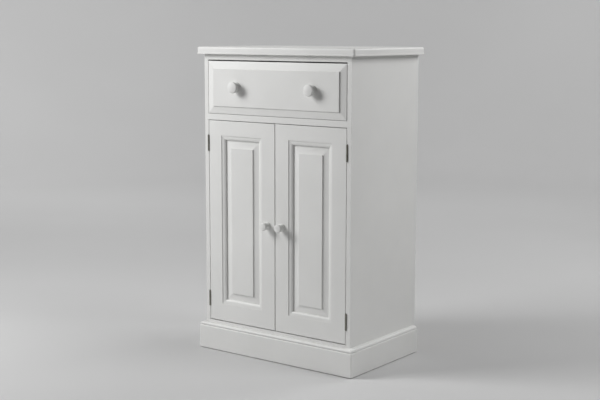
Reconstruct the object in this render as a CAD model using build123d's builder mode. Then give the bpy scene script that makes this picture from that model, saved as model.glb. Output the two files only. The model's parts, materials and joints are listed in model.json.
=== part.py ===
from build123d import *
import os

# White painted apothecary cabinet: one drawer over a pair of panelled doors, on a moulded plinth.
# Millimetres. +X is the cabinet's right hand, +Y its back, +Z up. The origin is on the floor, midway
# across the width and midway between the drawer knobs' fronts and the back edge of the top board.

# Carcass
HEIGHT = 1003
CARCASS_WIDTH = 582
SIDE_THICK = 15.5
SIDE_DEPTH = 367
BACK_THICK = 12
TOP_RAIL_THICK = 18
RAIL_THICK = 20
RAIL_DEPTH = 60
HOUSING = 5                  # depth of the housings that hold the boards in the side panels
SILL = 97                    # top of the bottom board

# Top board
TOP_THICK = 24
TOP_SIDE_OVERHANG = 20
TOP_FRONT_OVERHANG = 15
TOP_BACK_REACH = 383         # from the carcass face to the top board's back edge
TOP_CORNER = 8
TOP_NOSING = 6
TOP_ARRIS = 2

# Plinth
PLINTH_HEIGHT = 89
PLINTH_THICK = 17.5
PLINTH_CLEAR = 2.5           # the mouldings hang this far above the floor
PLINTH_ROUND = 4.5
PLINTH_BEAD = 8.4
PLINTH_QUIRK = 1.6
BLOCK = 25                   # glue blocks in the plinth's corners

# Drawer
DRAWER_OPENING = 174.5
DRAWER_GAP = 2               # at each end; the next two are below and above the front
DRAWER_GAP_BELOW = 1.2
DRAWER_GAP_ABOVE = 4
DRAWER_FRONT_THICK = 20
DRAWER_SIDE_THICK = 12
DRAWER_SIDE_HEIGHT = 158
DRAWER_LENGTH = 350
DRAWER_BORDER = 24           # bevelled border round the drawer's raised field
BORDER_PROUD = 0.5           # outer edge of that border, in front of the carcass face
FIELD_PROUD = 7              # the drawer's field, in front of the carcass face
FIELD_STEP = 2.8             # the shoulder round a raised field
BOTTOM_THICK = 6
TAIL_LENGTH = 9
RUNNER_WIDTH = 30

# Doors
DOOR_THICK = 20
DOOR_GAP = 2
DOOR_GAP_BELOW = 3
MEETING_GAP = 3
STILE_FLAT = 52
TOP_RAIL_FLAT = 48
BOTTOM_RAIL_FLAT = 58
STICKING = 14                # moulding on the frame's inner edge
QUIRK = 1.8
STICKING_DEPTH = 5.5
PANEL_DEPTH = 10             # from the door's face to the panel groove
PANEL_TONGUE = 6
PANEL_GROOVE = 10
PANEL_BEVEL = 25
FIELD_DEPTH = 2.3            # the panel's raised field, behind the door's face

# Hinges: two-inch steel butts
HINGE_LENGTH = 50
HINGE_HEIGHTS = (170, 690)
LEAF_WIDTH = 14
LEAF_THICK = 1.2
KNUCKLE_RADIUS = 3.25
PIN_RADIUS = 1.5
PIN_CLEARANCE = 0.05
KNUCKLE_CLEARANCE = 0.25
HINGE_PROUD = 0.2            # pin axis, in front of the carcass face

# Knobs, turned in one pattern
DRAWER_KNOB_RADIUS = 18.5
DRAWER_KNOB_REACH = 25
DRAWER_KNOB_X = 150
DRAWER_KNOB_Z = 874.5
DOOR_KNOB_RADIUS = 13
DOOR_KNOB_REACH = 28
DOOR_KNOB_X = 29.5
DOOR_KNOB_Z = 438

# Shelf
SHELF_Z = 420
SHELF_THICK = 16
PEG_RADIUS = 2.5

# Places that follow from those sizes
FACE = (FIELD_PROUD + DRAWER_KNOB_REACH - TOP_BACK_REACH) / 2
BACK = FACE + SIDE_DEPTH
REAR = BACK + BACK_THICK
OUTER = CARCASS_WIDTH / 2
INNER = OUTER - SIDE_THICK
UNDER_TOP = HEIGHT - TOP_THICK
DRAWER_CEILING = UNDER_TOP - TOP_RAIL_THICK
RUNNER_TOP = DRAWER_CEILING - DRAWER_OPENING
DOOR_CEILING = RUNNER_TOP - RAIL_THICK
BOARD_LOW = SILL - RAIL_THICK
HINGE_X = INNER + 0.5
HINGE_Y = FACE - HINGE_PROUD

os.makedirs("parts", exist_ok=True)


def save(piece, label):
    """Names a finished piece and writes it as its own STEP file."""
    piece.part.label = label
    export_step(piece.part, f"parts/{label}.step")


def save_pair(piece, label):
    """Writes a right-hand piece and its mirror image for the left-hand side."""
    save(piece, f"right_{label}")
    with BuildPart() as twin:
        mirror(piece.part, about=Plane.YZ)
    save(twin, f"left_{label}")


def board(x_span, y_span, z_span, mode=Mode.ADD):
    """Adds a square-edged board to the piece being made, or cuts its shape from it."""
    with BuildSketch(Plane.XY.offset(z_span[0])) as outline:
        with Locations(((x_span[0] + x_span[1]) / 2, (y_span[0] + y_span[1]) / 2)):
            Rectangle(x_span[1] - x_span[0], y_span[1] - y_span[0])
    extrude(outline.sketch, amount=z_span[1] - z_span[0], mode=mode)


def cut(*pieces):
    """Cuts other pieces' shapes from the piece being made."""
    for piece in pieces:
        add(piece.part, mode=Mode.SUBTRACT)


def front_plane(depth):
    """The upright plane that lies this far behind the carcass face and looks forward."""
    return Plane.XZ.offset(-(FACE + depth))


def wood_screw(length, head, shank, slot=0.9):
    """A countersunk screw, driven down from the XY plane. A slot of 0 makes the hole's cutter."""
    with BuildPart() as piece:
        with BuildSketch(Plane.XZ):
            with BuildLine():
                Polyline((0, 0), (head, 0), (shank, shank - head), (shank, 2 * shank - length),
                         (0, -length), close=True)
            make_face()
        revolve(axis=Axis.Z)
        if slot:
            Box(2 * head, slot, 2 * slot, mode=Mode.SUBTRACT)
    return piece


def placed(piece, places):
    """A group of copies of one small piece, each set on a plane."""
    with BuildPart() as group:
        with Locations(*[place.location for place in places]):
            add(piece.part)
    return group


# ---------------------------------------------------------------- screws that hold the carcass

def facing_x(x, y, z, side):
    """A plane that looks along X, to the right for a side of 1 and to the left for -1."""
    return Plane(origin=(x, y, z), z_dir=(side, 0, 0))


TOP_SCREW = (32, 4, 2)
RUNNER_SCREW = (40, 4, 2)
BACK_SCREW = (30, 3.5, 1.75)
HINGE_SCREW = (12, 2.6, 1.3)

top_screw_places = [
    Plane(origin=(x, y, DRAWER_CEILING), z_dir=(0, 0, -1))
    for x in (-200, 0, 200)
    for y in (FACE + RAIL_DEPTH / 2, BACK - RAIL_DEPTH / 2)
]
runner_screw_places = [
    facing_x(side * (INNER - RUNNER_WIDTH), y, z, -side)
    for side in (-1, 1)
    for y in (FACE + 100, BACK - 100)
    for z in (RUNNER_TOP - RAIL_THICK / 2, UNDER_TOP - TOP_RAIL_THICK / 2)
]
BACK_BOARDS = 4
BACK_BOARD_WIDTH = CARCASS_WIDTH / BACK_BOARDS
back_screw_places = [
    Plane(origin=((i + 0.5) * BACK_BOARD_WIDTH - OUTER + offset, REAR, z), z_dir=(0, 1, 0))
    for i in range(BACK_BOARDS)
    for offset in (-45, 45)
    for z in (SILL - RAIL_THICK / 2, UNDER_TOP - TOP_RAIL_THICK / 2)
]
save(placed(wood_screw(*TOP_SCREW), top_screw_places), "top_screws")
save(placed(wood_screw(*RUNNER_SCREW), runner_screw_places), "runner_screws")
save(placed(wood_screw(*BACK_SCREW), back_screw_places), "back_screws")
top_screw_holes = placed(wood_screw(*TOP_SCREW, slot=0), top_screw_places)
runner_screw_holes = placed(wood_screw(*RUNNER_SCREW, slot=0), runner_screw_places)
back_screw_holes = placed(wood_screw(*BACK_SCREW, slot=0), back_screw_places)


# ---------------------------------------------------------------- butt hinges, right-hand pair

KNUCKLES = 5
KNUCKLE_STEP = HINGE_LENGTH / KNUCKLES
KNUCKLE_END_GAP = 0.1
TIP_HEIGHT = 1.3
TIP_RADIUS = 2.4


def hinge_round(radius, low, high, mode=Mode.ADD):
    """A cylinder about the hinge's pin, added to or cut from the piece being made."""
    with BuildSketch(Plane.XY.offset(low)) as circle:
        with Locations((HINGE_X, HINGE_Y)):
            Circle(radius)
    extrude(circle.sketch, amount=high - low, mode=mode)


def hinge_leaf(x_low, x_high, first, middle):
    """One leaf with the knuckles first, first + 2 and so on, counted up from the bottom."""
    low = middle - HINGE_LENGTH / 2
    own = range(first, KNUCKLES, 2)
    with BuildPart() as leaf:
        board((x_low, x_high), (HINGE_Y, FACE + LEAF_WIDTH), (low, low + HINGE_LENGTH))
        for i in range(KNUCKLES):
            bottom, top = low + i * KNUCKLE_STEP, low + (i + 1) * KNUCKLE_STEP
            if i not in own:
                hinge_round(KNUCKLE_RADIUS + KNUCKLE_CLEARANCE, bottom - KNUCKLE_END_GAP,
                            top + KNUCKLE_END_GAP, Mode.SUBTRACT)
        for i in own:
            bottom, top = low + i * KNUCKLE_STEP, low + (i + 1) * KNUCKLE_STEP
            hinge_round(KNUCKLE_RADIUS, bottom + KNUCKLE_END_GAP, top - KNUCKLE_END_GAP)
        hinge_round(PIN_RADIUS + PIN_CLEARANCE, low - 1, low + HINGE_LENGTH + 1, Mode.SUBTRACT)
    return leaf


def hinge_pin(middle):
    """The pin and the tips that close it above and below the knuckles."""
    half = HINGE_LENGTH / 2
    with BuildPart() as pin:
        hinge_round(PIN_RADIUS, middle - half, middle + half)
        hinge_round(TIP_RADIUS, middle + half, middle + half + TIP_HEIGHT)
        hinge_round(TIP_RADIUS, middle - half - TIP_HEIGHT, middle - half)
        tips = pin.edges().filter_by(GeomType.CIRCLE).filter_by(lambda e: e.radius == TIP_RADIUS)
        fillet([tips.sort_by(Axis.Z)[0], tips.sort_by(Axis.Z)[-1]], radius=0.8)
    return pin


def both_hinges(make, *sizes):
    """The lower and the upper hinge's like pieces, as one group."""
    with BuildPart() as group:
        for middle in HINGE_HEIGHTS:
            add(make(*sizes, middle).part)
    return group


SCREW_INSET = FACE + 9.5     # hinge screws, behind the face
screw_heights = [middle + step for middle in HINGE_HEIGHTS for step in (-17, 0, 17)]
frame_screw_places = [facing_x(INNER, SCREW_INSET, z, -1) for z in screw_heights]
door_screw_places = [facing_x(INNER - DOOR_GAP, SCREW_INSET, z, 1) for z in screw_heights]
frame_screw_holes = placed(wood_screw(*HINGE_SCREW, slot=0), frame_screw_places)
door_screw_holes = placed(wood_screw(*HINGE_SCREW, slot=0), door_screw_places)
with BuildPart() as frame_hinge_screws:
    add(placed(wood_screw(*HINGE_SCREW, slot=0.7), frame_screw_places).part)
    mirror(frame_hinge_screws.part, about=Plane.YZ)
save(frame_hinge_screws, "frame_hinge_screws")
save_pair(placed(wood_screw(*HINGE_SCREW, slot=0.7), door_screw_places), "door_hinge_screws")

with BuildPart() as frame_leaves:
    add(both_hinges(hinge_leaf, INNER, INNER + LEAF_THICK, 0).part)
    cut(frame_screw_holes)
save_pair(frame_leaves, "hinge_frame_leaves")
with BuildPart() as door_leaves:
    add(both_hinges(hinge_leaf, INNER - DOOR_GAP - LEAF_THICK, INNER - DOOR_GAP, 1).part)
    cut(door_screw_holes)
save_pair(door_leaves, "hinge_door_leaves")
save_pair(both_hinges(hinge_pin), "hinge_pins")


def cut_hinge_mortises(x_low, x_high):
    """Cuts the leaves' mortises and the knuckles' hollows from the piece being made."""
    for middle in HINGE_HEIGHTS:
        low, high = middle - HINGE_LENGTH / 2, middle + HINGE_LENGTH / 2
        board((x_low, x_high), (FACE, FACE + LEAF_WIDTH), (low, high), Mode.SUBTRACT)
        hinge_round(KNUCKLE_RADIUS + KNUCKLE_CLEARANCE, low - 2 * TIP_HEIGHT, high + 2 * TIP_HEIGHT,
                    Mode.SUBTRACT)


# ---------------------------------------------------------------- carcass

peg_places = [
    facing_x(INNER, y, SHELF_Z - PEG_RADIUS, 1) for y in (FACE + 80, BACK - 50)
]
with BuildPart() as shelf_pegs:
    for place in peg_places:
        with BuildSketch(place.offset(-8)):
            Circle(PEG_RADIUS)
    extrude(amount=18)
    mirror(about=Plane.YZ)
save(shelf_pegs, "shelf_pegs")

housed = (-INNER - HOUSING, INNER + HOUSING)
front_strip = (FACE, FACE + RAIL_DEPTH)
rear_strip = (BACK - RAIL_DEPTH, BACK)
runner_x = (INNER - RUNNER_WIDTH, INNER)
with BuildPart() as bottom_board:
    board(housed, (FACE, BACK), (BOARD_LOW, SILL))
    cut(back_screw_holes)
save(bottom_board, "bottom_board")
with BuildPart() as mid_rail:
    board(housed, front_strip, (DOOR_CEILING, RUNNER_TOP))
save(mid_rail, "mid_rail")
with BuildPart() as front_top_rail:
    board(housed, front_strip, (DRAWER_CEILING, UNDER_TOP))
    cut(top_screw_holes)
save(front_top_rail, "front_top_rail")
with BuildPart() as rear_top_rail:
    board(housed, rear_strip, (DRAWER_CEILING, UNDER_TOP))
    cut(top_screw_holes, back_screw_holes)
save(rear_top_rail, "rear_top_rail")

with BuildPart() as side_panel:
    board((INNER, OUTER), (FACE, BACK), (0, UNDER_TOP))
    cut(bottom_board, mid_rail, front_top_rail, rear_top_rail)
    cut(shelf_pegs, runner_screw_holes, frame_screw_holes)
    cut_hinge_mortises(INNER, INNER + LEAF_THICK)
save_pair(side_panel, "side_panel")

with BuildPart() as drawer_runners:
    board(runner_x, (FACE + RAIL_DEPTH, BACK), (DOOR_CEILING, RUNNER_TOP))
    mirror(about=Plane.YZ)
    cut(runner_screw_holes)
save(drawer_runners, "drawer_runners")
with BuildPart() as drawer_kickers:
    board(runner_x, (FACE + RAIL_DEPTH, BACK - RAIL_DEPTH), (DRAWER_CEILING, UNDER_TOP))
    mirror(about=Plane.YZ)
    cut(runner_screw_holes)
save(drawer_kickers, "drawer_kickers")

with BuildPart() as drawer_stops:
    with BuildSketch(Plane.XY.offset(RUNNER_TOP)):
        with Locations((-DRAWER_KNOB_X, FACE + 25), (DRAWER_KNOB_X, FACE + 25)):
            Rectangle(30, 9)
    extrude(amount=5.5)
save(drawer_stops, "drawer_stops")

with BuildPart() as shelf:
    board((1 - INNER, INNER - 1), (FACE + 40, BACK - 2), (SHELF_Z, SHELF_Z + SHELF_THICK))
save(shelf, "shelf")

# The back is four upright boards, tongued and grooved, with a V where two of them meet.
TONGUE = 5
TONGUE_THICK = 3
V_JOINT = 1.2
for i in range(BACK_BOARDS):
    left = i * BACK_BOARD_WIDTH - OUTER
    right = left + BACK_BOARD_WIDTH
    with BuildPart() as back_board:
        board((left, right), (BACK, REAR), (BOARD_LOW, UNDER_TOP))
        chamfer(back_board.edges().filter_by(Axis.Z).group_by(Axis.Y)[-1], length=V_JOINT)
        middle = (BACK + REAR) / 2
        tongue_y = (middle - TONGUE_THICK / 2, middle + TONGUE_THICK / 2)
        if i > 0:
            board((left, left + TONGUE), tongue_y, (BOARD_LOW, UNDER_TOP), Mode.SUBTRACT)
        if i < BACK_BOARDS - 1:
            board((right, right + TONGUE), tongue_y, (BOARD_LOW, UNDER_TOP))
        cut(back_screw_holes)
    save(back_board, f"back_board_{i + 1}")


# ---------------------------------------------------------------- top board

top_half = OUTER + TOP_SIDE_OVERHANG
with BuildPart() as top_board:
    board((-top_half, top_half), (FACE - TOP_FRONT_OVERHANG, FACE + TOP_BACK_REACH),
          (UNDER_TOP, HEIGHT))
    fillet(top_board.edges().filter_by(Axis.Z), radius=TOP_CORNER)
    fillet(top_board.faces().sort_by(Axis.Z)[-1].edges(), radius=TOP_NOSING)
    fillet(top_board.faces().sort_by(Axis.Z)[0].edges(), radius=TOP_ARRIS)
    cut(top_screw_holes)
save(top_board, "top_board")


# ---------------------------------------------------------------- plinth

def plinth_length(plane, length):
    """Adds plinth moulding: a fascia with a rounded top edge, and a larger round set in above it."""
    fascia_top = PLINTH_HEIGHT - PLINTH_BEAD - PLINTH_QUIRK
    bead_out = PLINTH_THICK - 2
    quirk_in = PLINTH_THICK - PLINTH_ROUND - 1
    with BuildSketch(plane) as profile:
        with BuildLine():
            Polyline((bead_out - PLINTH_BEAD, PLINTH_HEIGHT), (0, PLINTH_HEIGHT), (0, PLINTH_CLEAR),
                     (PLINTH_THICK, PLINTH_CLEAR), (PLINTH_THICK, fascia_top - PLINTH_ROUND))
            TangentArc((PLINTH_THICK, fascia_top - PLINTH_ROUND), (PLINTH_THICK - PLINTH_ROUND, fascia_top),
                       tangent=(0, 1))
            Polyline((PLINTH_THICK - PLINTH_ROUND, fascia_top), (quirk_in, fascia_top),
                     (quirk_in, fascia_top + PLINTH_QUIRK), (bead_out, fascia_top + PLINTH_QUIRK))
            TangentArc((bead_out, fascia_top + PLINTH_QUIRK), (bead_out - PLINTH_BEAD, PLINTH_HEIGHT),
                       tangent=(0, 1))
        make_face()
    extrude(profile.sketch, amount=length / 2, both=True)


mitre_plane = Plane(origin=(OUTER, FACE, 0), z_dir=(1, 1, 0))
other_mitre_plane = Plane(origin=(-OUTER, FACE, 0), z_dir=(-1, 1, 0))
front_plinth_plane = Plane(origin=(0, FACE, 0), x_dir=(0, -1, 0), z_dir=(-1, 0, 0))
side_plinth_length = SIDE_DEPTH + PLINTH_THICK
side_plinth_plane = Plane(
    origin=(OUTER, BACK - side_plinth_length / 2, 0), x_dir=(1, 0, 0), z_dir=(0, -1, 0)
)
with BuildPart() as plinth_front:
    plinth_length(front_plinth_plane, CARCASS_WIDTH + 2 * PLINTH_THICK)
    split(bisect_by=mitre_plane, keep=Keep.BOTTOM)
    split(bisect_by=other_mitre_plane, keep=Keep.BOTTOM)
save(plinth_front, "plinth_front")
with BuildPart() as plinth_side:
    plinth_length(side_plinth_plane, side_plinth_length)
    split(bisect_by=mitre_plane, keep=Keep.TOP)
save_pair(plinth_side, "plinth_side")

PLINTH_RAIL_THICK = 18
with BuildPart() as plinth_back_rail:
    board((-INNER, INNER), (BACK - PLINTH_RAIL_THICK, BACK), (0, BOARD_LOW))
save(plinth_back_rail, "plinth_back_rail")
with BuildPart() as corner_blocks:
    with BuildSketch(Plane.XY.offset(BOARD_LOW)):
        for side in (-1, 1):
            for y in (FACE + BLOCK / 2, BACK - PLINTH_RAIL_THICK - BLOCK / 2):
                with Locations((side * (INNER - BLOCK / 2), y)):
                    Rectangle(BLOCK, BLOCK)
    extrude(amount=-(BOARD_LOW - 4))
save(corner_blocks, "corner_blocks")


# ---------------------------------------------------------------- turned knobs

def knob(radius, reach):
    """A turned knob that stands up from the XY plane: flange, two beads, short neck and thick head."""
    head = 0.6 * radius
    stem = reach - head
    with BuildPart() as piece:
        with BuildSketch(Plane.XZ):
            with BuildLine():
                Polyline((0, 0), (0.92 * radius, 0), (0.92 * radius, 0.14 * stem))
                TangentArc((0.92 * radius, 0.14 * stem), (0.82 * radius, 0.25 * stem), tangent=(0, 1))
                Line((0.82 * radius, 0.25 * stem), (0.74 * radius, 0.29 * stem))
                ThreePointArc((0.74 * radius, 0.29 * stem), (0.87 * radius, 0.44 * stem),
                              (0.74 * radius, 0.59 * stem))
                Line((0.74 * radius, 0.59 * stem), (0.72 * radius, 0.62 * stem))
                ThreePointArc((0.72 * radius, 0.62 * stem), (0.83 * radius, 0.75 * stem),
                              (0.66 * radius, 0.88 * stem))
                Polyline((0.66 * radius, 0.88 * stem), (0.64 * radius, 0.92 * stem), (0.84 * radius, stem),
                         (radius, stem + 0.2 * head), (radius, stem + 0.6 * head))
                TangentArc((radius, stem + 0.6 * head), (0.78 * radius, stem + 0.85 * head), tangent=(0, 1))
                TangentArc((0, reach), (0.78 * radius, stem + 0.85 * head), tangent=(1, 0))
                Line((0, reach), (0, 0))
            make_face()
        revolve(axis=Axis.Z)
    return piece


def knob_screw(length, head, shank):
    """A pan-headed screw, driven down from the XY plane, with its head above it."""
    with BuildPart() as piece:
        with BuildSketch(Plane.XY):
            Circle(shank)
        extrude(amount=-length)
        with BuildSketch(Plane.XY):
            Circle(head)
        extrude(amount=2.4)
        fillet(piece.faces().sort_by(Axis.Z)[-1].edges(), radius=1)
    return piece


drawer_knob_places = [
    Plane(origin=(x, FACE - FIELD_PROUD, DRAWER_KNOB_Z), z_dir=(0, -1, 0))
    for x in (-DRAWER_KNOB_X, DRAWER_KNOB_X)
]
field_thick = FIELD_PROUD + DRAWER_FRONT_THICK
drawer_knob_screws = placed(
    knob_screw(field_thick + 12, 4, 2),
    [Plane(origin=place.origin + (0, field_thick, 0), z_dir=(0, 1, 0)) for place in drawer_knob_places],
)
save(drawer_knob_screws, "drawer_knob_screws")
for place, label in zip(drawer_knob_places, ("left_drawer_knob", "right_drawer_knob")):
    with BuildPart() as drawer_knob:
        add(placed(knob(DRAWER_KNOB_RADIUS, DRAWER_KNOB_REACH), [place]).part)
        cut(drawer_knob_screws)
    save(drawer_knob, label)

door_knob_place = Plane(origin=(DOOR_KNOB_X, FACE, DOOR_KNOB_Z), z_dir=(0, -1, 0))
door_knob_screw = placed(
    knob_screw(DOOR_THICK + 10, 4, 2),
    [Plane(origin=(DOOR_KNOB_X, FACE + DOOR_THICK, DOOR_KNOB_Z), z_dir=(0, 1, 0))],
)
save_pair(door_knob_screw, "door_knob_screw")
with BuildPart() as door_knob:
    add(placed(knob(DOOR_KNOB_RADIUS, DOOR_KNOB_REACH), [door_knob_place]).part)
    cut(door_knob_screw)
save_pair(door_knob, "door_knob")


# ---------------------------------------------------------------- raised panels

def raise_panel(x_span, z_span, border, base_depth, shoulder_depth, field_depth):
    """Adds a bevel, a shoulder and a flat field to the front of the piece being made."""
    centre = ((x_span[0] + x_span[1]) / 2, (z_span[0] + z_span[1]) / 2)
    width, height = x_span[1] - x_span[0], z_span[1] - z_span[0]
    with BuildSketch(front_plane(base_depth)) as outline:
        with Locations(centre):
            Rectangle(width, height)
    with BuildSketch(front_plane(shoulder_depth)) as field:
        with Locations(centre):
            Rectangle(width - 2 * border, height - 2 * border)
    loft(sections=[outline.sketch.face(), field.sketch.face()])
    extrude(field.sketch, amount=shoulder_depth - field_depth)


# ---------------------------------------------------------------- door, right hand

DOOR_LEFT = MEETING_GAP / 2
DOOR_RIGHT = INNER - DOOR_GAP
DOOR_LOW = SILL + DOOR_GAP_BELOW
DOOR_HIGH = DOOR_CEILING - DOOR_GAP
DOOR_MIDDLE = (DOOR_LEFT + DOOR_RIGHT) / 2
DOOR_CENTRE_Z = (DOOR_LOW + DOOR_HIGH) / 2
SIGHT_X = (DOOR_LEFT + STILE_FLAT + STICKING, DOOR_RIGHT - STILE_FLAT - STICKING)
SIGHT_Z = (DOOR_LOW + BOTTOM_RAIL_FLAT + STICKING, DOOR_HIGH - TOP_RAIL_FLAT - STICKING)


def frame_member(plane, flat, length):
    """Adds a door-frame member. Along the plane's X it is flat, then quirk, ovolo and groove."""
    inner = flat + STICKING
    groove_back = PANEL_DEPTH + PANEL_TONGUE
    with BuildSketch(plane) as profile:
        with BuildLine():
            Polyline((0, 0), (flat, 0), (flat, QUIRK), (flat + 1, QUIRK))
            TangentArc((flat + 1, QUIRK), (inner, STICKING_DEPTH), tangent=(1, 0))
            Polyline((inner, STICKING_DEPTH), (inner, PANEL_DEPTH), (inner - PANEL_GROOVE, PANEL_DEPTH),
                     (inner - PANEL_GROOVE, groove_back), (inner, groove_back), (inner, DOOR_THICK),
                     (0, DOOR_THICK), (0, 0))
        make_face()
    extrude(profile.sketch, amount=length / 2, both=True)


stile_length = DOOR_HIGH - DOOR_LOW
rail_length = DOOR_RIGHT - DOOR_LEFT - 2 * STILE_FLAT
meeting_plane = Plane(origin=(DOOR_LEFT, FACE, DOOR_CENTRE_Z), x_dir=(1, 0, 0), z_dir=(0, 0, 1))
hinge_plane = Plane(origin=(DOOR_RIGHT, FACE, DOOR_CENTRE_Z), x_dir=(-1, 0, 0), z_dir=(0, 0, -1))
with BuildPart() as meeting_stile:
    frame_member(meeting_plane, STILE_FLAT, stile_length)
    cut(door_knob_screw)
save_pair(meeting_stile, "door_meeting_stile")
with BuildPart() as hinge_stile:
    frame_member(hinge_plane, STILE_FLAT, stile_length)
    cut(door_screw_holes)
    cut_hinge_mortises(DOOR_RIGHT - LEAF_THICK, DOOR_RIGHT)
save_pair(hinge_stile, "door_hinge_stile")

# The rails are scribed over the stiles' moulding, and their tenons fill the stiles' grooves.
rail_ends = (("top", DOOR_HIGH, TOP_RAIL_FLAT, -1), ("bottom", DOOR_LOW, BOTTOM_RAIL_FLAT, 1))
for name, edge_z, flat, inward in rail_ends:
    rail_plane = Plane(origin=(DOOR_MIDDLE, FACE, edge_z), x_dir=(0, 0, inward), z_dir=(-inward, 0, 0))
    with BuildPart() as door_rail:
        frame_member(rail_plane, flat, rail_length)
        cut(meeting_stile, hinge_stile)
    save_pair(door_rail, f"door_{name}_rail")

PANEL_INSET = 9              # how far the panel's tongue reaches into the grooves
with BuildPart() as door_panel:
    board((SIGHT_X[0] - PANEL_INSET, SIGHT_X[1] + PANEL_INSET),
          (FACE + PANEL_DEPTH, FACE + PANEL_DEPTH + PANEL_TONGUE),
          (SIGHT_Z[0] - PANEL_INSET, SIGHT_Z[1] + PANEL_INSET))
    raise_panel(SIGHT_X, SIGHT_Z, PANEL_BEVEL, PANEL_DEPTH, FIELD_DEPTH + FIELD_STEP, FIELD_DEPTH)
save_pair(door_panel, "door_panel")


# ---------------------------------------------------------------- magnetic catch

CATCH_HALF = 24
CATCH_HEIGHT = 14
STRIKE_THICK = 1
STRIKE_X = (4, 20)
catch_front = FACE + DOOR_THICK + STRIKE_THICK + 0.3
catch_z = (DOOR_CEILING - CATCH_HEIGHT, DOOR_CEILING)
magnet_z = (catch_z[0] + 3, catch_z[1] - 3)
with BuildPart() as catch_magnets:
    for side in (-1, 1):
        x = side * sum(STRIKE_X) / 2
        board((x - 7, x + 7), (catch_front, catch_front + 9), magnet_z)
save(catch_magnets, "catch_magnets")
with BuildPart() as catch_housing:
    board((-CATCH_HALF, CATCH_HALF), (catch_front + 1, catch_front + 14), catch_z)
    cut(catch_magnets)
save(catch_housing, "catch_housing")
with BuildPart() as strike_plate:
    board(STRIKE_X, (FACE + DOOR_THICK, FACE + DOOR_THICK + STRIKE_THICK), (DOOR_HIGH - 14, DOOR_HIGH - 1))
save_pair(strike_plate, "strike_plate")


# ---------------------------------------------------------------- drawer

FRONT_HALF = INNER - DRAWER_GAP
FRONT_Z = (RUNNER_TOP + DRAWER_GAP_BELOW, DRAWER_CEILING - DRAWER_GAP_ABOVE)
SIDE_IN = FRONT_HALF - DRAWER_SIDE_THICK
SIDE_LOW = RUNNER_TOP + 0.3
SHOULDER = FACE + DRAWER_FRONT_THICK
DRAWER_END = FACE + DRAWER_LENGTH
GROOVE = 5
FLOOR_LOW = SIDE_LOW + 9
FLOOR_TOP = FLOOR_LOW + BOTTOM_THICK
TAILS = 4
TAIL_ROOT, TAIL_TIP = 10, 13
BACK_INSET = 16

floor_screw_places = [
    Plane(origin=(x, DRAWER_END - BACK_INSET + DRAWER_SIDE_THICK / 2, FLOOR_LOW), z_dir=(0, 0, -1))
    for x in (-180, 0, 180)
]
floor_screw_holes = placed(wood_screw(16, 3, 1.5, slot=0), floor_screw_places)
save(placed(wood_screw(16, 3, 1.5), floor_screw_places), "drawer_bottom_screws")

with BuildPart() as drawer_bottom:
    board((-SIDE_IN - GROOVE, SIDE_IN + GROOVE), (SHOULDER - GROOVE, DRAWER_END), (FLOOR_LOW, FLOOR_TOP))
    cut(floor_screw_holes)
save(drawer_bottom, "drawer_bottom")
with BuildPart() as drawer_back:
    board((-SIDE_IN - GROOVE + 1, SIDE_IN + GROOVE - 1),
          (DRAWER_END - BACK_INSET, DRAWER_END - BACK_INSET + DRAWER_SIDE_THICK),
          (FLOOR_TOP, SIDE_LOW + DRAWER_SIDE_HEIGHT - 10))
    cut(floor_screw_holes)
save(drawer_back, "drawer_back")

with BuildPart() as drawer_side:
    board((SIDE_IN, FRONT_HALF), (SHOULDER, DRAWER_END), (SIDE_LOW, SIDE_LOW + DRAWER_SIDE_HEIGHT))
    for i in range(TAILS):
        z = SIDE_LOW + DRAWER_SIDE_HEIGHT * (i + 0.75) / (TAILS + 0.5)
        with BuildSketch(Plane.YZ.offset(SIDE_IN)) as tail:
            with BuildLine():
                Polyline((SHOULDER, z - TAIL_ROOT), (SHOULDER, z + TAIL_ROOT),
                         (SHOULDER - TAIL_LENGTH, z + TAIL_TIP), (SHOULDER - TAIL_LENGTH, z - TAIL_TIP),
                         close=True)
            make_face()
        extrude(tail.sketch, amount=DRAWER_SIDE_THICK)
    cut(drawer_bottom, drawer_back)
save_pair(drawer_side, "drawer_side")

with BuildPart() as drawer_front:
    board((-FRONT_HALF, FRONT_HALF), (FACE - BORDER_PROUD, SHOULDER), FRONT_Z)
    raise_panel((-FRONT_HALF, FRONT_HALF), FRONT_Z, DRAWER_BORDER, -BORDER_PROUD,
                FIELD_STEP - FIELD_PROUD, -FIELD_PROUD)
    cut(drawer_side)
    mirror(drawer_side.part, about=Plane.YZ, mode=Mode.SUBTRACT)
    cut(drawer_bottom, drawer_knob_screws)
save(drawer_front, "drawer_front")
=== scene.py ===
import json
import math

import bmesh
import bpy
from mathutils import Matrix, Vector

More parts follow.
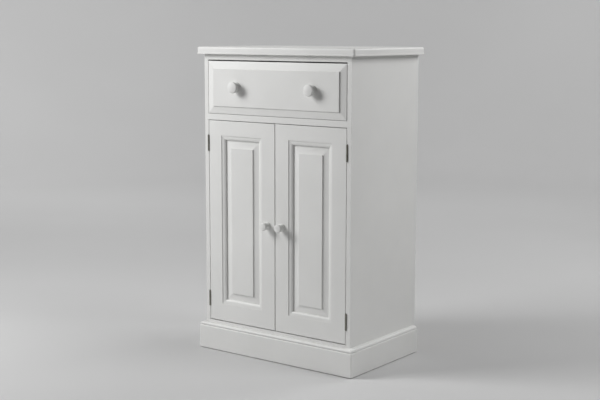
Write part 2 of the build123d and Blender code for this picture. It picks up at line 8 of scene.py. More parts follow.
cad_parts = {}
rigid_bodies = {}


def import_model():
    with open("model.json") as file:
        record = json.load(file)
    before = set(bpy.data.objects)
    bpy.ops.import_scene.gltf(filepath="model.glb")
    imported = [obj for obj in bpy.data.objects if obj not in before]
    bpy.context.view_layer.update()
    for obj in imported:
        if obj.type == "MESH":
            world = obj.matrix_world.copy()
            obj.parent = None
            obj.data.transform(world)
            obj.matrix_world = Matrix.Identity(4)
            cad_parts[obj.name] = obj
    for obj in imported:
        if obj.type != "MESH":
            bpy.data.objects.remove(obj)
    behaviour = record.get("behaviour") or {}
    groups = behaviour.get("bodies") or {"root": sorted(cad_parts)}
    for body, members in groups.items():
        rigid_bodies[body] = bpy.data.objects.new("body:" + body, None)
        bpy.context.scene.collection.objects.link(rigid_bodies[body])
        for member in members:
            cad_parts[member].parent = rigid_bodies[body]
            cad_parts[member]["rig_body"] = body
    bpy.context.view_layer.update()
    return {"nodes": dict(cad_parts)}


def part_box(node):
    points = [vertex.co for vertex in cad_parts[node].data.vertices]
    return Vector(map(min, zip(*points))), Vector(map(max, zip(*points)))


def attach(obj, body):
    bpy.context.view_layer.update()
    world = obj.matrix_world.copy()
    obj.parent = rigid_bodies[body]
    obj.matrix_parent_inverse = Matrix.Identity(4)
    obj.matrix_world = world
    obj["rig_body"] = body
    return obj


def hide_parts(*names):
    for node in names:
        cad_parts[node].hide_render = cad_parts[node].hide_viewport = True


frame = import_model()


# ---------------------------------------------------------------- side panels
# Two solid boards that run from the floor to the top board. Their front edges are the upright strips
# beside the drawer and the doors. The rails and the bottom board are let into them and glued, and the
# whole cabinet is brushed with satin off-white paint, so that no joint shows on the outside.

def wire_node(tree, kind, settings=(), **sockets):
    """Adds a shader node, with its settings, and its sockets given a value or a link."""
    made = tree.nodes.new("ShaderNode" + kind)
    for key, value in dict(settings).items():
        setattr(made, key, value)
    for key, value in sockets.items():
        socket = made.inputs[key.replace("_", " ")]
        if isinstance(value, bpy.types.NodeSocket):
            tree.links.new(value, socket)
        else:
            socket.default_value = value
    return made


def finish_shader(name):
    """A new material: its node tree, its shader, and its Object coordinates."""
    material = bpy.data.materials.new(name)
    material.use_nodes = True
    tree = material.node_tree
    return material, tree, tree.nodes["Principled BSDF"], wire_node(tree, "TexCoord").outputs["Object"]


def colour_ramp(tree, share, *stops):
    """A colour that goes through the stops, each a place and a colour, as the share rises."""
    ramp = wire_node(tree, "ValToRGB", Fac=share)
    for stop, (place, colour) in zip(ramp.color_ramp.elements, (stops[0], stops[-1])):
        stop.position, stop.color = place, (*colour, 1)
    for place, colour in stops[1:-1]:
        ramp.color_ramp.elements.new(place).color = (*colour, 1)
    return ramp.outputs["Color"]


def brushed_paint(name, along=None):
    """Satin off-white paint. Its brush marks run along one axis, or every way on turned work."""
    material, tree, shader, coords = finish_shader(name)
    marks_across, marks_lengthwise = 850, 9
    marks_scale = [marks_across] * 3
    if along:
        marks_scale["XYZ".index(along)] = marks_lengthwise
    stretched = wire_node(tree, "Mapping", Vector=coords, Scale=marks_scale).outputs["Vector"]
    marks = wire_node(tree, "TexNoise", Vector=stretched, Scale=1, Detail=2, Roughness=0.55).outputs["Fac"]
    sag = wire_node(tree, "TexNoise", Vector=coords, Scale=38, Detail=1).outputs["Fac"]
    tone = wire_node(tree, "TexNoise", Vector=coords, Scale=5, Detail=3).outputs["Fac"]
    waved = wire_node(tree, "Bump", Height=sag, Strength=0.6, Distance=0.00035).outputs["Normal"]
    combed = wire_node(tree, "Bump", Height=marks, Strength=0.5, Distance=0.00006, Normal=waved)
    sheen = wire_node(tree, "MapRange", Value=marks, From_Min=0.3, From_Max=0.7, To_Min=0.40, To_Max=0.50)
    tree.links.new(colour_ramp(tree, tone, (0.3, (0.79, 0.79, 0.775)), (0.7, (0.83, 0.83, 0.815))),
                   shader.inputs["Base Color"])
    tree.links.new(sheen.outputs["Result"], shader.inputs["Roughness"])
    tree.links.new(combed.outputs["Normal"], shader.inputs["Normal"])
    shader.inputs["Specular IOR Level"].default_value = 0.45
    return material


def make_piece(name, shape, nodes, slot, *materials):
    """Makes a shape into an object that rides where its CAD nodes ride and stands for them.

    Its faces run smoothly into each other, except at a sharp corner or along a mitre."""
    sharp_corner = math.radians(38)
    for face in shape.faces:
        face.smooth = True
    for edge in shape.edges:
        run = [abs(part) for part in edge.verts[1].co - edge.verts[0].co]
        mitred = min(run[0], run[2]) > 0.3 * max(run) and edge.calc_length() > 0.001
        edge.smooth = edge.is_manifold and not mitred and edge.calc_face_angle(0) < sharp_corner
    mesh = bpy.data.meshes.new(name)
    shape.to_mesh(mesh)
    shape.free()
    for material in materials:
        mesh.materials.append(material)
    piece = bpy.data.objects.new(name, mesh)
    bpy.context.scene.collection.objects.link(piece)
    crisp = piece.modifiers.new("even faces", "WEIGHTED_NORMAL")
    crisp.keep_sharp = True
    crisp.weight = 100
    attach(piece, frame["nodes"][nodes[0]]["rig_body"])
    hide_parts(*nodes)
    return piece


def merged_copy(node):
    """A copy of a CAD node's shape with its loose triangles joined into whole faces."""
    shape = bmesh.new()
    shape.from_mesh(frame["nodes"][node].data)
    bmesh.ops.remove_doubles(shape, verts=shape.verts, dist=1e-6)
    bmesh.ops.dissolve_limit(shape, angle_limit=math.radians(0.4), verts=shape.verts, edges=shape.edges,
                             delimit={"NORMAL"})
    return shape


def ease_edges(shape, ease, shortest, directions="XYZ", wanted=lambda edge: True):
    """Rounds over the long straight outward edges that lie along the named directions."""
    sharp = []
    for edge in shape.edges:
        run = edge.verts[1].co - edge.verts[0].co
        straight = any(abs(run["XYZ".index(axis)]) > 0.999 * run.length for axis in directions)
        if straight and run.length > shortest and len(edge.link_faces) == 2 and wanted(edge):
            if edge.is_convex and edge.calc_face_angle() > math.radians(25):
                sharp.append(edge)
    bmesh.ops.bevel(shape, geom=sharp, offset=ease, offset_type="OFFSET", segments=3, profile=0.5,
                    affect="EDGES", clamp_overlap=True, material=-1)


def eased_board(name, node, slot, material, ease=0.0006, shortest=0.03, directions="XYZ"):
    """A board with its long edges eased by sandpaper and paint."""
    shape = merged_copy(node)
    ease_edges(shape, ease, shortest, directions)
    return make_piece(name, shape, [node], slot, material)


paint_upright = brushed_paint("paint_brushed_upright", "Z")
paint_across = brushed_paint("paint_brushed_across", "X")
paint_back_to_front = brushed_paint("paint_brushed_back_to_front", "Y")
for hand in ("left", "right"):
    eased_board(f"{hand}_side", f"{hand}_side_panel", "white_paint", paint_upright, ease=0.0009,
                shortest=0.02, directions="Z")


# ---------------------------------------------------------------- rails and bottom board
# The rail above the drawer, the rail between drawer and doors, and the board that the doors close
# against. All are glued into the side panels with their front edges flush, and painted over.

for node, name in (("front_top_rail", "drawer_head_rail"), ("mid_rail", "drawer_foot_rail"),
                   ("bottom_board", "cupboard_floor")):
    eased_board(name, node, "white_paint", paint_across, ease=0.0007, directions="X")


# ---------------------------------------------------------------- shelf and its pegs
# One loose board, painted with the carcass, that rests on four turned metal pegs. The pegs are pushed
# into holes bored in the side panels.

def plated_steel(name, colour, roughness, wear):
    """Metal with fine scratches, and a plating whose colour and polish vary a little."""
    material, tree, shader, coords = finish_shader(name)
    patches = wire_node(tree, "TexNoise", Vector=coords, Scale=160, Detail=4).outputs["Fac"]
    scratches = wire_node(tree, "TexNoise", Vector=coords, Scale=2600, Detail=2).outputs["Fac"]
    light = tuple(min(1, part * wear) for part in colour)
    tree.links.new(colour_ramp(tree, patches, (0.35, colour), (0.72, light)), shader.inputs["Base Color"])
    polish = wire_node(tree, "MapRange", Value=patches, From_Min=0.3, From_Max=0.7,
                       To_Min=roughness - 0.06, To_Max=roughness + 0.08)
    tree.links.new(polish.outputs["Result"], shader.inputs["Roughness"])
    marked = wire_node(tree, "Bump", Height=scratches, Strength=0.4, Distance=0.00002)
    tree.links.new(marked.outputs["Normal"], shader.inputs["Normal"])
    shader.inputs["Metallic"].default_value = 1
    return material


def finish_nodes(material, *nodes):
    """Gives CAD nodes whose shape is already right their real finish."""
    for node in nodes:
        for place in frame["nodes"][node].material_slots:
            place.material = material


bright_steel = plated_steel("nickel_plated_steel", (0.56, 0.56, 0.54), 0.28, 1.2)
eased_board("cupboard_shelf", "shelf", "white_paint", paint_across, ease=0.0015, shortest=0.01)
finish_nodes(bright_steel, "shelf_pegs")


# ---------------------------------------------------------------- back boards
# Four upright tongued and grooved boards screwed over the back of the carcass, with a small V where
# two of them meet, painted outside and in.

for number in range(1, 5):
    eased_board(f"back_plank_{number}", f"back_board_{number}", "white_paint", paint_upright,
                ease=0.0004, shortest=0.02, directions="Z")


# ---------------------------------------------------------------- pine inside the carcass
# Runners, kickers, drawer stops, the hidden rails and the plinth's glue blocks are bare planed pine,
# glued and screwed inside the painted carcass.

def bare_pine(name, along, shift):
    """Planed pine: growth rings and fine fibres that run along one axis, with its own pattern."""
    material, tree, shader, coords = finish_shader(name)
    axis = "XYZ".index(along)
    long_scale, fibre_scale = [1, 1, 1], [700, 700, 700]
    long_scale[axis], fibre_scale[axis] = 0.07, 9
    log_lean = [0.05, 0.07, 0.04]
    log = wire_node(tree, "Mapping", Vector=coords, Location=shift, Rotation=log_lean, Scale=long_scale)
    rings = wire_node(tree, "TexWave", dict(wave_type="RINGS", rings_direction=along), Scale=48,
                      Vector=log.outputs["Vector"], Distortion=15, Detail=2, Detail_Scale=0.22)
    fibre_place = wire_node(tree, "Mapping", Vector=coords, Location=shift, Scale=fibre_scale)
    fibres = wire_node(tree, "TexNoise", Vector=fibre_place.outputs["Vector"], Scale=1, Detail=2)
    ring_colour = colour_ramp(tree, rings.outputs["Fac"], (0.1, (0.75, 0.59, 0.40)),
                              (0.75, (0.71, 0.53, 0.34)), (0.97, (0.60, 0.42, 0.25)))
    fibre_colour = colour_ramp(tree, fibres.outputs["Fac"], (0.3, (0.86, 0.84, 0.82)), (0.7, (1, 1, 1)))
    whole = wire_node(tree, "Mix", dict(data_type="RGBA", blend_type="MULTIPLY"))
    whole.inputs[0].default_value = 1
    tree.links.new(ring_colour, whole.inputs[6])
    tree.links.new(fibre_colour, whole.inputs[7])
    tree.links.new(whole.outputs[2], shader.inputs["Base Color"])
    planed = wire_node(tree, "Bump", Height=fibres.outputs["Fac"], Strength=0.5, Distance=0.00008)
    tree.links.new(planed.outputs["Normal"], shader.inputs["Normal"])
    shader.inputs["Roughness"].default_value = 0.62
    return material


for place, (node, name, along) in enumerate((
        ("drawer_runners", "runner_pair", "Y"), ("drawer_kickers", "kicker_pair", "Y"),
        ("drawer_stops", "drawer_stop_blocks", "X"), ("rear_top_rail", "back_head_rail", "X"),
        ("plinth_back_rail", "plinth_rear_board", "X"), ("corner_blocks", "plinth_glue_blocks", "Z"))):
    eased_board(name, node, "bare_pine", bare_pine(f"pine_{name}", along, (0.31 * place, 0.17, 0.4)),
                shortest=0.02, directions=along)


# ---------------------------------------------------------------- plinth
# A fascia with a rounded top edge under a larger round that is set in a little. It runs round the front
# and both sides of the carcass just clear of the floor, mitred at the front corners, glued and painted.

def moulding_section(corners, rounds, segments=8):
    """One flat section of a moulding: its corners as (out, up), some of them rounded."""
    shape = bmesh.new()
    section = [shape.verts.new((out, 0, up)) for out, up in corners]
    shape.faces.new(section)
    for index, radius in rounds:
        bmesh.ops.bevel(shape, geom=[section[index]], offset=radius, offset_type="OFFSET",
                        segments=segments, profile=0.5, affect="VERTICES", material=-1)
    return shape


def run_section(shape, stations, closed=False):
    """Runs the section through stations, each of which says where a point (out, up) goes."""
    end = shape.faces[:][0]
    section = [(v.co.x, v.co.z) for v in end.verts]
    for v, (out, up) in zip(end.verts, section):
        v.co = stations[0](out, up)
    spare = [end] if closed else []
    for station in stations[1:] + stations[:closed]:
        made = bmesh.ops.extrude_face_region(shape, geom=[end])["geom"]
        end = next(part for part in made if isinstance(part, bmesh.types.BMFace))
        for v, (out, up) in zip(end.verts, section):
            v.co = station(out, up)
        spare.append(end)
    if not closed:
        spare.pop()
    bmesh.ops.delete(shape, geom=[face for face in spare if face.is_valid], context="FACES_ONLY")
    bmesh.ops.remove_doubles(shape, verts=shape.verts, dist=1e-6)
    bmesh.ops.recalc_face_normals(shape, faces=shape.faces)


def mitre(corner, outward, rounding, solid):
    """Stations that turn a moulding round an upright corner, which is rounded beyond 'solid'."""
    def station(turn):
        return lambda out, up: Vector((
            corner[0] + outward[0] * (min(out, solid) + max(out - solid, 0) * turn[0]),
            corner[1] + outward[1] * (min(out, solid) + max(out - solid, 0) * turn[1]), up))
    return [station(turn) for turn in rounding]


carcass_low, carcass_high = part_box("left_side_panel")[0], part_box("right_side_panel")[1]
plinth_low, plinth_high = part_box("plinth_front")
thick = carcass_low.y - plinth_low.y
fascia_round, bead, quirk, bead_set_in = 0.0045, 0.0084, 0.0016, 0.002
rubbed = 0.0025              # how far the mitred corners are rubbed round
fascia_top = plinth_high.z - bead - quirk
bead_out, quirk_in = thick - bead_set_in, thick - fascia_round - 0.001
plinth_shape = moulding_section(
    ((0, plinth_low.z), (thick, plinth_low.z), (thick, fascia_top), (quirk_in, fascia_top),
     (quirk_in, fascia_top + quirk), (bead_out, fascia_top + quirk), (bead_out, plinth_high.z),
     (0, plinth_high.z)),
    ((2, fascia_round), (6, bead)))
CORNER_STEPS = 5
quarter = [math.pi / 2 * step / CORNER_STEPS for step in range(CORNER_STEPS + 1)]
from_side = [(math.cos(angle), math.sin(angle)) for angle in quarter]
from_front = from_side[::-1]
left_corner = (carcass_low.x, carcass_low.y)
right_corner = (carcass_high.x, carcass_low.y)
run_section(plinth_shape, [
    lambda out, up: Vector((carcass_low.x - out, carcass_high.y, up)),
    *mitre(left_corner, (-1, -1), from_side, thick - rubbed),
    *mitre(right_corner, (1, -1), from_front, thick - rubbed),
    lambda out, up: Vector((carcass_high.x + out, carcass_high.y, up))])
for face in plinth_shape.faces:
    spot = face.calc_center_median()
    beyond_mitre = abs(spot.x) - carcass_high.x > carcass_low.y - spot.y
    face.material_index = int(beyond_mitre)
make_piece("plinth_moulding", plinth_shape, ["plinth_front", "left_plinth_side", "right_plinth_side"],
           "white_paint", paint_across, paint_back_to_front)


# ---------------------------------------------------------------- top board
# One board, moulded round its edge: a square band below, a small step in, and a rounded nosing above.
# Its corners are rubbed round. It is screwed down from inside through the rails.

top_low, top_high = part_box("top_board")
band, step, nosing, corner_round = 0.0055, 0.0008, 0.0065, 0.0065
reach = 0.05                 # width of the moulded margin, from the edge inward
top_shape = moulding_section(
    ((0, top_low.z), (reach, top_low.z), (reach, top_low.z + band), (reach - step, top_low.z + band),
     (reach - step, top_high.z), (0, top_high.z)),
    ((1, 0.0012), (2, 0.0005), (4, nosing)))
margin_low = Vector((top_low.x + reach, top_low.y + reach))
margin_high = Vector((top_high.x - reach, top_high.y - reach))
stations = []
for corner, outward, rounding in (((margin_low.x, margin_high.y), (-1, 1), from_front),
                                  ((margin_low.x, margin_low.y), (-1, -1), from_side),
                                  ((margin_high.x, margin_low.y), (1, -1), from_front),
                                  ((margin_high.x, margin_high.y), (1, 1), from_side)):
    stations += mitre(corner, outward, rounding, reach - corner_round)
run_section(top_shape, stations, closed=True)
slack = 1e-5
inner_wall = [face for face in top_shape.faces if abs(face.normal.z) < 0.5 and all(
    margin_low.x - slack < v.co.x < margin_high.x + slack
    and margin_low.y - slack < v.co.y < margin_high.y + slack for v in face.verts)]
bmesh.ops.delete(top_shape, geom=inner_wall, context="FACES")
rims = [edge for edge in top_shape.edges if edge.is_boundary]
bmesh.ops.holes_fill(top_shape, edges=rims, sides=0)
bmesh.ops.recalc_face_normals(top_shape, faces=top_shape.faces)
for face in top_shape.faces:
    face.material_index = int(abs(face.normal.x) > 0.5)
make_piece("cabinet_top", top_shape, ["top_board"], "white_paint", paint_across, paint_back_to_front)


# ---------------------------------------------------------------- door frames
# Each door has two stiles and two rails, tenoned, glued and painted as one. The inner edge is moulded
# with a small square step and a shallow ovolo, and a groove behind it holds the panel. The hinge edge
# is cut for two butt hinges.

def in_temporary_object(shape):
    """Links a shape to the scene for as long as a cut needs it."""
    mesh = bpy.data.meshes.new("shaping")
    shape.to_mesh(mesh)
    shape.free()
    made = bpy.data.objects.new("shaping", mesh)
    bpy.context.scene.collection.objects.link(made)
    return made


def carve(shape, *cutters):
    """Cuts closed shapes out of another one and gives the result."""
    wood = in_temporary_object(shape)
    tools = [in_temporary_object(cutter) for cutter in cutters]
    for tool in tools:
        chisel = wood.modifiers.new("chisel", "BOOLEAN")
        chisel.operation, chisel.solver, chisel.object = "DIFFERENCE", "EXACT", tool
    seen = wood.evaluated_get(bpy.context.evaluated_depsgraph_get())
    mesh = bpy.data.meshes.new_from_object(seen)
    result = bmesh.new()
    result.from_mesh(mesh)
    for made in (wood, *tools):
        used = made.data
        bpy.data.objects.remove(made)
        bpy.data.meshes.remove(used)
    bpy.data.meshes.remove(mesh)
    bmesh.ops.remove_doubles(result, verts=result.verts, dist=1e-6)
    bmesh.ops.dissolve_limit(result, angle_limit=math.radians(0.4), verts=result.verts, edges=result.edges,
                             delimit={"NORMAL"})
    return result


def block(low, high, shape=None):
    """A square block between two corners, alone or added to a shape."""
    shape = shape or bmesh.new()
    low, high = Vector(low), Vector(high)
    bmesh.ops.create_cube(shape, size=1, matrix=Matrix.LocRotScale((low + high) / 2, None, high - low))
    return shape


def mirror_to_left(shape):
    """The left-hand twin of a right-hand shape."""
    bmesh.ops.scale(shape, vec=(-1, 1, 1), verts=shape.verts)
    bmesh.ops.reverse_faces(shape, faces=shape.faces)
    return shape


def door_section(thick, edge):
    """The section of a stile or a rail: 'out' runs from the sight edge to the door's outer edge."""
    sticking, fillet = 0.014, 0.001                  # the moulded inner edge, and its small square step
    depth, groove_front, groove_back, groove = 0.0055, 0.010, 0.016, 0.010
    return moulding_section(
        ((0, depth), (0, groove_front), (groove, groove_front), (groove, groove_back), (0, groove_back),
         (0, thick), (edge, thick), (edge, 0), (sticking, 0), (sticking, 0.0018),
         (sticking - fillet, 0.0018), (sticking - fillet - 0.0045, 0.0021), (0.0035, 0.0034)),
        ((11, 0.0040), (7, 0.0009), (6, 0.0009)), segments=5)


def right_frame():
    """The right-hand door's frame, moulded, grooved and cut for its hinges."""
    low, meeting_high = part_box("right_door_meeting_stile")
    hinge_low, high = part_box("right_door_hinge_stile")
    sight_low = Vector((meeting_high.x, 0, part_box("right_door_bottom_rail")[1].z))
    sight_high = Vector((hinge_low.x, 0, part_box("right_door_top_rail")[0].z))
    edge = 0.066             # stands for the outer edge, since rails and stiles differ in width
    shape = door_section(high.y - low.y, edge)

    def at(sight, rim, outward):
        def station(out, up):
            start, travel = (rim, out - edge) if out > edge / 2 else (sight, out)
            return Vector((start[0] + outward[0] * travel, low.y + up, start[1] + outward[1] * travel))
        return station
    run_section(shape, [
        at((sight_low.x, sight_low.z), (low.x, low.z), (-1, -1)),
        at((sight_high.x, sight_low.z), (high.x, low.z), (1, -1)),
        at((sight_high.x, sight_high.z), (high.x, high.z), (1, 1)),
        at((sight_low.x, sight_high.z), (low.x, high.z), (-1, 1))], closed=True)
    leaf_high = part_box("right_hinge_door_leaves")[1]
    pin_low, pin_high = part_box("right_hinge_pins")
    pin = (pin_low + pin_high) / 2
    half_leaf, recess, over, knuckle_hollow, hollow_length = 0.025, 0.0012, 0.005, 0.0035, 0.0552
    mortises, hollows = bmesh.new(), bmesh.new()
    for middle in (0.170, 0.690):                    # the heights of the two hinges
        block((high.x - recess, low.y - over, middle - half_leaf),
              (high.x + over, leaf_high.y, middle + half_leaf), mortises)
        bmesh.ops.create_cone(hollows, cap_ends=True, segments=40, radius1=knuckle_hollow,
                              radius2=knuckle_hollow, depth=hollow_length,
                              matrix=Matrix.Translation((pin.x, pin.y, middle)))
    return carve(shape, mortises, hollows)


for hand in ("right", "left"):
    frame_shape = right_frame()
    if hand == "left":
        mirror_to_left(frame_shape)
    rail_low, rail_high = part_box(f"{hand}_door_top_rail")
    lower_rail_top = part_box(f"{hand}_door_bottom_rail")[1].z
    for stile_edge in (rail_low.x, rail_high.x):
        whole = frame_shape.verts[:] + frame_shape.edges[:] + frame_shape.faces[:]
        bmesh.ops.bisect_plane(frame_shape, geom=whole, dist=1e-7, plane_co=(stile_edge, 0, 0),
                               plane_no=(1, 0, 0))
    into_sight = 0.012       # the inner edge's moulding, which runs on past the sight edge
    for face in frame_shape.faces:
        spot = face.calc_center_median()
        of_panel_height = lower_rail_top - into_sight < spot.z < rail_low.z + into_sight
        if rail_low.x < spot.x < rail_high.x and not of_panel_height:
            face.material_index = 1
    parts = ("meeting_stile", "hinge_stile", "top_rail", "bottom_rail")
    make_piece(f"{hand}_door_frame", frame_shape, [f"{hand}_door_{part}" for part in parts],
               "white_paint", paint_upright, paint_across)


# ---------------------------------------------------------------- door panels
# One raised panel floats in each frame's groove: a bevelled margin rises to a small square shoulder
# round a flat field. The paint softens every edge.

for hand in ("right", "left"):
    panel_shape = merged_copy(f"{hand}_door_panel")
    ease_edges(panel_shape, 0.0006, 0.05)
    make_piece(f"{hand}_raised_panel", panel_shape, [f"{hand}_door_panel"], "white_paint", paint_upright)


# ---------------------------------------------------------------- butt hinges
# Four two-inch steel butts, bronzed dark and never painted: leaves let in flush, five knuckles on a
# pin with small round tips, and countersunk slotted screws.

hinge_steel = plated_steel("bronzed_steel", (0.25, 0.245, 0.215), 0.45, 1.4)
for hand in ("left", "right"):
    finish_nodes(hinge_steel, f"{hand}_hinge_frame_leaves", f"{hand}_hinge_door_leaves",
                 f"{hand}_hinge_pins", f"{hand}_door_hinge_screws")
finish_nodes(hinge_steel, "frame_hinge_screws")


# ---------------------------------------------------------------- drawer front
# A solid board whose bevelled border rises to a square shoulder round a flat field. The sides are
# dovetailed into its back, and its face and edges are painted.

drawer_shape = merged_copy("drawer_front")
ease_edges(drawer_shape, 0.0007, 0.1)
make_piece("drawer_face", drawer_shape, ["drawer_front"], "white_paint", paint_across)


# ---------------------------------------------------------------- drawer box
# Pine sides dovetailed to the front, a back housed between them, and a thin bottom that slides into
# grooves and is screwed up to the back.

for place, (node, name, along) in enumerate((
        ("left_drawer_side", "left_drawer_cheek", "Y"), ("right_drawer_side", "right_drawer_cheek", "Y"),
        ("drawer_back", "drawer_rear_board", "X"), ("drawer_bottom", "drawer_floor", "X"))):
    eased_board(name, node, "bare_pine", bare_pine(f"pine_{name}", along, (0.13, 0.29 * place, 0.21)),
                shortest=0.03)


# ---------------------------------------------------------------- turned knobs
# Two larger knobs on the drawer and two small ones on the doors, turned in one pattern from beech:
# flange, two beads, short neck and thick head. Each is held by a screw from behind and painted.

def turned_knob(radius, reach):
    """A knob turned about the Y axis, with its flange on the XZ plane and its head towards -Y.

    Each point of its outline says how far out it is, as a share of the radius, how far along the
    stem or the head it is, and how much its corner is rounded."""
    head = -0.6 * radius
    stem = -reach - head
    outline = ((0, 0, 0), (0.92, 0, 0), (0.92, 0.25, 0.1), (0.75, 0.285, 0), (0.87, 0.29, 0.12),
               (0.87, 0.59, 0.12), (0.73, 0.6, 0), (0.83, 0.62, 0.1), (0.83, 0.88, 0.1), (0.65, 0.89, 0),
               (0.64, 0.93, 0.03), (0.84, 1, 0.04))
    cap = ((1, 0.2, 0.08), (1, 0.85, 0.2), (0.76, 0.88, 0.05), (0.5, 0.955, 0), (0.25, 0.99, 0), (0, 1, 0))
    profile = ([(out * radius, share * stem, rounded) for out, share, rounded in outline]
               + [(out * radius, stem + share * head, rounded) for out, share, rounded in cap])
    shape = bmesh.new()
    points = [shape.verts.new((out, along, 0)) for out, along, _ in profile]
    for pair in zip(points, points[1:]):
        shape.edges.new(pair)
    for point, (_, _, rounded) in zip(points, profile):
        if rounded:
            bmesh.ops.bevel(shape, geom=[point], offset=rounded * radius, offset_type="OFFSET",
                            segments=5, profile=0.5, affect="VERTICES", clamp_overlap=True, material=-1)
    bmesh.ops.spin(shape, geom=shape.verts[:] + shape.edges[:], cent=(0, 0, 0), axis=(0, 1, 0),
                   angle=2 * math.pi, steps=64, use_merge=True, use_duplicate=False)
    bmesh.ops.remove_doubles(shape, verts=shape.verts, dist=1e-6)
    bmesh.ops.recalc_face_normals(shape, faces=shape.faces)
    return shape


turned_paint = brushed_paint("paint_on_turned_wood")
for node, name in (("left_drawer_knob", "left_drawer_handle"), ("right_drawer_knob", "right_drawer_handle"),
                   ("left_door_knob", "left_door_handle"), ("right_door_knob", "right_door_handle")):
    low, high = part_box(node)
    knob_shape = turned_knob((high.z - low.z) / 2, high.y - low.y)
    bmesh.ops.translate(knob_shape, verts=knob_shape.verts,
                        vec=((low.x + high.x) / 2, high.y, (low.z + high.z) / 2))
    make_piece(name, knob_shape, [node], "white_paint", turned_paint)


# ---------------------------------------------------------------- magnetic catch
# A double catch of off-white moulded plastic under the middle rail, with two ferrite magnets, and a
# nickel-plated strike plate on the back of each door.

def moulded_plastic(name, colour, roughness):
    """Fine-grained moulded plastic or ferrite."""
    material, tree, shader, coords = finish_shader(name)
    grain = wire_node(tree, "TexNoise", Vector=coords, Scale=1800, Detail=2).outputs["Fac"]
    cloud = wire_node(tree, "TexNoise", Vector=coords, Scale=60, Detail=2).outputs["Fac"]
    darker = tuple(part * 0.93 for part in colour)
    tree.links.new(colour_ramp(tree, cloud, (0.3, darker), (0.7, colour)), shader.inputs["Base Color"])
    pitted = wire_node(tree, "Bump", Height=grain, Strength=0.4, Distance=0.00003)
    tree.links.new(pitted.outputs["Normal"], shader.inputs["Normal"])
    shader.inputs["Roughness"].default_value = roughness
    return material


finish_nodes(moulded_plastic("catch_plastic_moulded", (0.76, 0.74, 0.70), 0.45), "catch_housing")
finish_nodes(moulded_plastic("ferrite", (0.05, 0.05, 0.05), 0.6), "catch_magnets")
finish_nodes(bright_steel, "left_strike_plate", "right_strike_plate")


# ---------------------------------------------------------------- wood screws
# Countersunk slotted screws hold the top, the runners and the back, and pan-headed ones the knobs.
# All are zinc-plated steel, and all are driven from inside or from behind.

screw_steel = plated_steel("zinc_plated_steel", (0.42, 0.41, 0.38), 0.36, 1.25)
finish_nodes(screw_steel, "top_screws", "runner_screws", "back_screws", "drawer_bottom_screws",
             "drawer_knob_screws", "left_door_knob_screw", "right_door_knob_screw")


# ---------------------------------------------------------------- studio
# A round studio with a pale floor that curves up into its wall. Of its six large soft lamps, two stand
# to the left of the cabinet, two to its right and behind it, and two light the wall.

studio = bmesh.new()
floor_reach, wall_curve, wall_height = 4.3, 2.5, 5.0
rim = [studio.verts.new((x, 0, z)) for x, z in
       ((0, 0), (floor_reach + wall_curve, 0), (floor_reach + wall_curve, wall_height))]
for pair in zip(rim, rim[1:]):
    studio.edges.new(pair)
bmesh.ops.bevel(studio, geom=[rim[1]], offset=wall_curve, offset_type="OFFSET", segments=24, profile=0.5,
                affect="VERTICES", material=-1)
bmesh.ops.spin(studio, geom=studio.verts[:] + studio.edges[:], cent=(0, 0, 0), axis=(0, 0, 1),
               angle=2 * math.pi, steps=96, use_merge=True, use_duplicate=False)
bmesh.ops.remove_doubles(studio, verts=studio.verts, dist=1e-5)
bmesh.ops.recalc_face_normals(studio, faces=studio.faces)
bmesh.ops.reverse_faces(studio, faces=studio.faces)
studio_mesh = bpy.data.meshes.new("studio_floor")
studio.to_mesh(studio_mesh)
studio.free()
studio_mesh.shade_smooth()
studio_floor = bpy.data.objects.new("studio_floor", studio_mesh)
bpy.context.scene.collection.objects.link(studio_floor)
backdrop, tree, shader, coords = finish_shader("matt_pale_backdrop")
clouds = wire_node(tree, "TexNoise", Vector=coords, Scale=0.8, Detail=2).outputs["Fac"]
tree.links.new(colour_ramp(tree, clouds, (0.3, (0.60, 0.60, 0.60)), (0.7, (0.62, 0.62, 0.62))),
               shader.inputs["Base Color"])
shader.inputs["Roughness"].default_value = 0.85
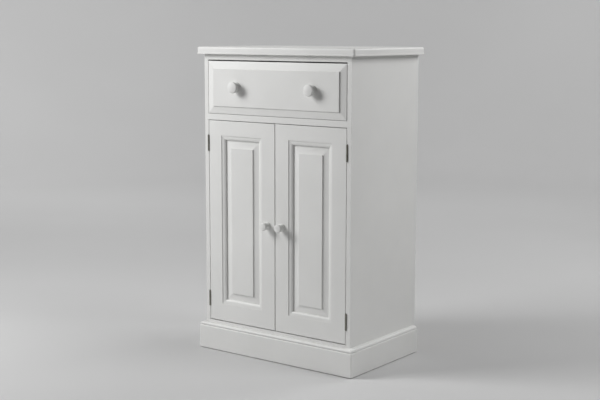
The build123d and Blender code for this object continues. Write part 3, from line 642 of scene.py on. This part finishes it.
shader.inputs["Specular IOR Level"].default_value = 0.2
studio_mesh.materials.append(backdrop)


def soft_lamp(name, place, aim, width, height, power):
    """A large rectangular lamp that faces its aim."""
    light = bpy.data.lights.new(name, "AREA")
    light.shape, light.size, light.size_y, light.energy = "RECTANGLE", width, height, power
    lamp = bpy.data.objects.new(name, light)
    bpy.context.scene.collection.objects.link(lamp)
    lamp.location = place
    lamp.rotation_euler = (Vector(aim) - Vector(place)).to_track_quat("-Z", "Y").to_euler()
    lamp.visible_camera = False
    return lamp


cabinet_middle = (0, 0, 0.5)
soft_lamp("key_lamp", (-1.74, -1.74, 2.22), cabinet_middle, 1.2, 1.2, 51.6)
soft_lamp("low_key_lamp", (-2.28, -1.6, 1.62), cabinet_middle, 1.0, 1.0, 23.6)
soft_lamp("side_lamp", (2.22, 0.59, 2.43), cabinet_middle, 1.4, 1.4, 31.1)
soft_lamp("rear_side_lamp", (1.04, 2.23, 2.22), cabinet_middle, 1.4, 1.4, 28.1)
soft_lamp("left_wall_lamp", (-3.71, 0.65, 3.14), (-5.36, 4.19, 1.2), 2, 2, 83.1)
soft_lamp("right_wall_lamp", (0.33, 3.75, 3.14), (-2.55, 6.3, 1.2), 2, 2, 62.9)
bpy.context.scene.world = bpy.data.worlds.new("dark_room")
bpy.context.scene.world.color = (0, 0, 0)


# ---------------------------------------------------------------- camera
# Stands to the right of the cabinet's front, a little above its top, and looks slightly down at it
# through a long lens.

camera = bpy.data.objects.new("camera", bpy.data.cameras.new("camera"))
camera.data.sensor_width = 36
camera.data.lens = 69.785
camera.data.dof.use_dof = False
camera_place = (2.25409, -3.03346, 1.05128)
turn, tilt, roll = math.radians(37.015), math.radians(81.763), math.radians(0.094)
camera.matrix_world = (Matrix.Translation(camera_place) @ Matrix.Rotation(turn, 4, "Z")
                       @ Matrix.Rotation(tilt, 4, "X") @ Matrix.Rotation(roll, 4, "Z"))
bpy.context.scene.collection.objects.link(camera)
bpy.context.scene.camera = camera
bpy.context.scene.view_settings.view_transform = "Standard"
